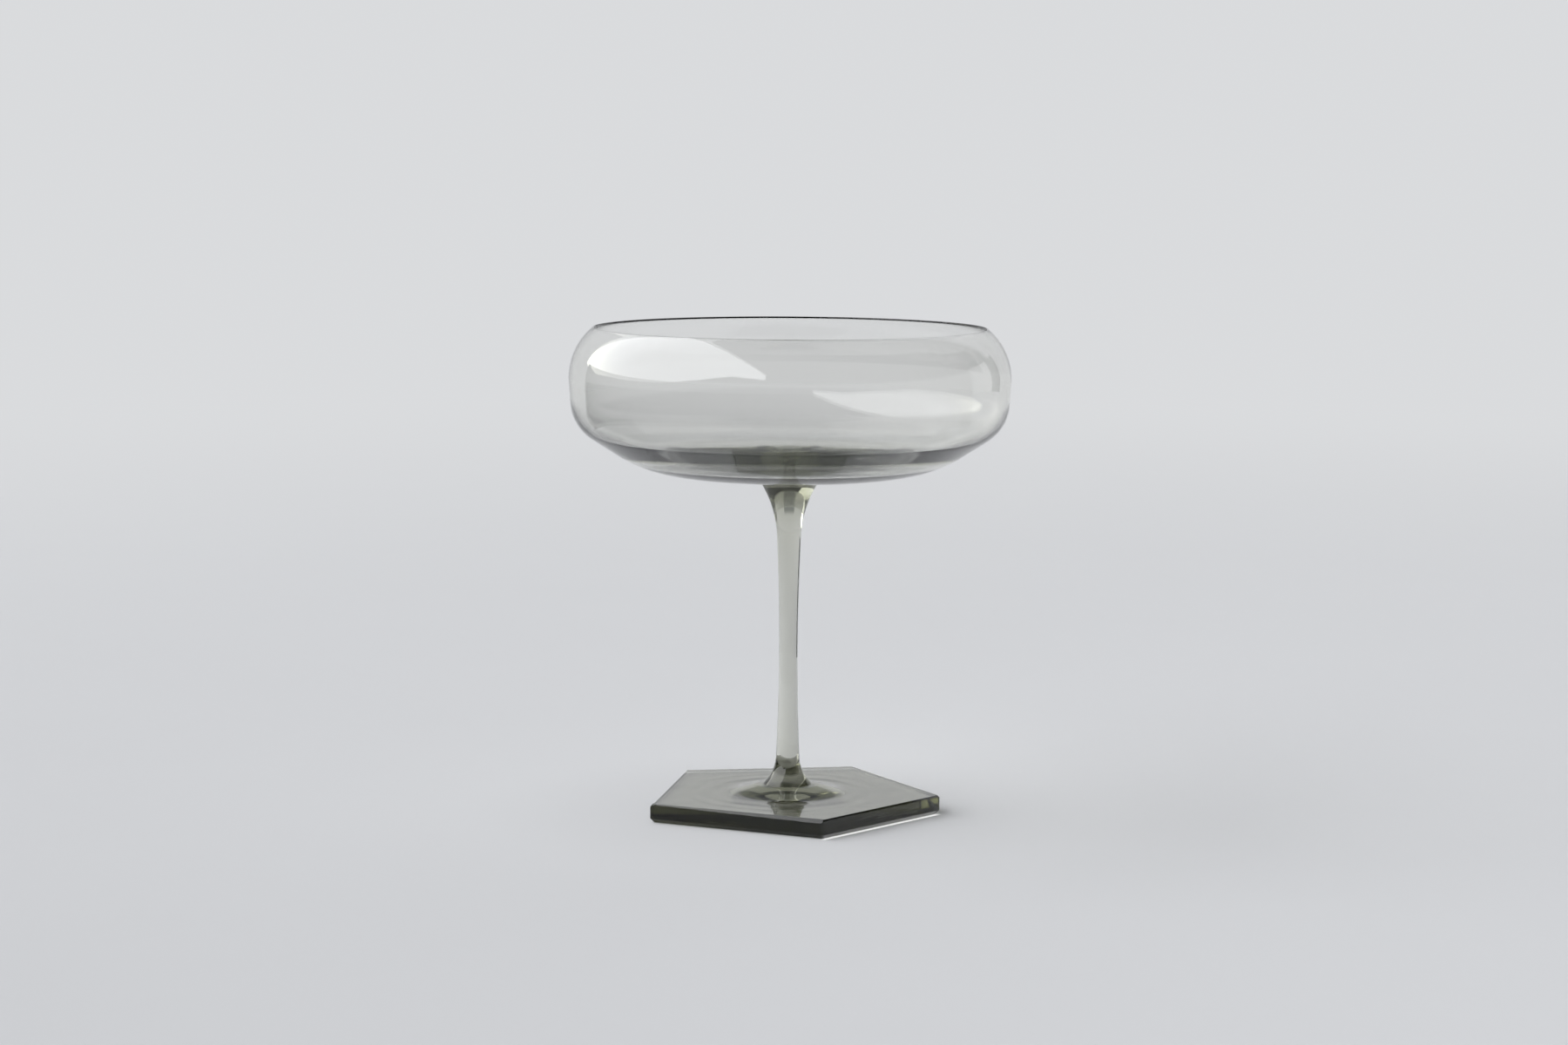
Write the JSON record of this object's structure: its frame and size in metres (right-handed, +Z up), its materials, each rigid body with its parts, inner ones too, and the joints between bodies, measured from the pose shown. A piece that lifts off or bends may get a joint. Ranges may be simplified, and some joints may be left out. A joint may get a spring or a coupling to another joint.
{
  "type": "champagne glass",
  "caption": "Stemmed champagne coupe in clear smoke-grey glass: wide bowl drawn in at the rim, slender flared stem and flat bevelled polygonal foot.",
  "frame": {"origin": "centre of the foot's underside, on the stem's axis", "axes": "+Z up the stem; a corner of the foot points along -Y"},
  "size_m": [0.1102, 0.1102, 0.1218],
  "materials": {
    "grey_glass": "polished transparent smoke-grey glass, olive where it is thick"
  },
  "bodies": {
    "root": {"bowl": "grey_glass", "stem": "grey_glass", "foot": "grey_glass"}
  },
  "joints": []
}
